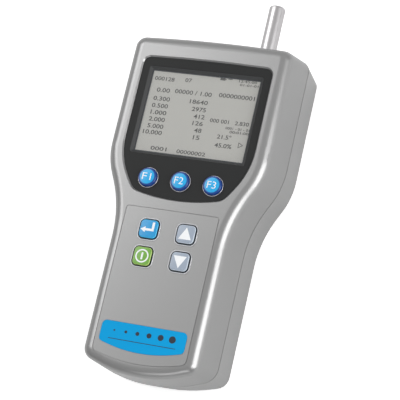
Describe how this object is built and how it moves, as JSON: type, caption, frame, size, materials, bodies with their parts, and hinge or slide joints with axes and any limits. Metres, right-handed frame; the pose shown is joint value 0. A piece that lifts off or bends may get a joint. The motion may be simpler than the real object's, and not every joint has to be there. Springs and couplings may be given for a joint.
{
  "type": "airborne particle counter",
  "caption": "Handheld airborne particle counter with a waisted silver housing, a dark screen panel, round and square keys and a metal air inlet tube.",
  "frame": {"origin": "middle of the bounding box's footprint, on the plane of the back that the instrument rests on", "axes": "+X to the right of the face, +Y along the housing towards the inlet, +Z out of the face"},
  "size_m": [0.1152, 0.2566, 0.0646],
  "materials": {
    "shell": "satin",
    "panel": "smooth",
    "window": "clear",
    "lcd": "matt",
    "dark_steel": "matt",
    "white_plastic": "smooth",
    "badge": "smooth",
    "key_blue": "smooth",
    "key_grey": "smooth",
    "key_green": "smooth",
    "board": "solder mask",
    "black_plastic": "smooth",
    "steel": "fine",
    "tube_steel": "polished",
    "brass": "turned",
    "rubber": "matt",
    "silicone": "satin",
    "dark_alu": "anodised",
    "filter": "smooth",
    "pack": "shrink film"
  },
  "bodies": {
    "housing": {"front_shell": "shell", "rear_shell": "shell", "display_panel": "panel", "display_window": "window", "lcd_frame": "dark_steel", "lcd_glass": "lcd", "backlight": "white_plastic", "keypad_overlay": "shell", "badge_plate": "badge", "main_board": "board", "key_switches": "black_plastic", "board_chips": "black_plastic", "board_screws": "steel", "buzzer": "black_plastic", "usb_socket": "steel", "dc_jack": "black_plastic", "climate_sensor": "white_plastic", "inlet_tube": "tube_steel", "inlet_collar": "steel", "inlet_seal": "rubber", "inlet_sleeve": "silicone", "optical_chamber": "dark_alu", "chamber_screws": "steel", "laser_module": "brass", "beam_stop": "black_plastic", "detector_board": "board", "shield_can": "steel", "sample_hose": "silicone", "exhaust_filter": "filter", "pump_hose": "silicone", "pump_head": "black_plastic", "pump_motor": "steel", "pump_rings": "rubber", "tripod_insert": "brass", "battery_pack": "pack", "battery_contacts": "brass", "battery_cover": "shell", "cover_screw": "steel", "case_screws": "steel"},
    "key_f1": {"key_f1": "key_blue"},
    "key_f2": {"key_f2": "key_blue"},
    "key_f3": {"key_f3": "key_blue"},
    "key_enter": {"key_enter": "key_blue"},
    "key_up": {"key_up": "key_grey"},
    "key_power": {"key_power": "key_green"},
    "key_down": {"key_down": "key_grey"}
  },
  "joints": [
    {"name": "key_f1_press", "type": "slide", "parent": "housing", "child": "key_f1", "axis": [0, 0, -1], "range_m": [0, 0.0008], "stiffness_N_per_m": 2500},
    {"name": "key_f2_press", "type": "slide", "parent": "housing", "child": "key_f2", "axis": [0, 0, -1], "range_m": [0, 0.0008], "stiffness_N_per_m": 2500},
    {"name": "key_f3_press", "type": "slide", "parent": "housing", "child": "key_f3", "axis": [0, 0, -1], "range_m": [0, 0.0008], "stiffness_N_per_m": 2500},
    {"name": "key_enter_press", "type": "slide", "parent": "housing", "child": "key_enter", "axis": [0, 0, -1], "range_m": [0, 0.0008], "stiffness_N_per_m": 2500},
    {"name": "key_up_press", "type": "slide", "parent": "housing", "child": "key_up", "axis": [0, 0, -1], "range_m": [0, 0.0008], "stiffness_N_per_m": 2500},
    {"name": "key_power_press", "type": "slide", "parent": "housing", "child": "key_power", "axis": [0, 0, -1], "range_m": [0, 0.0008], "stiffness_N_per_m": 2500},
    {"name": "key_down_press", "type": "slide", "parent": "housing", "child": "key_down", "axis": [0, 0, -1], "range_m": [0, 0.0008], "stiffness_N_per_m": 2500}
  ]
}
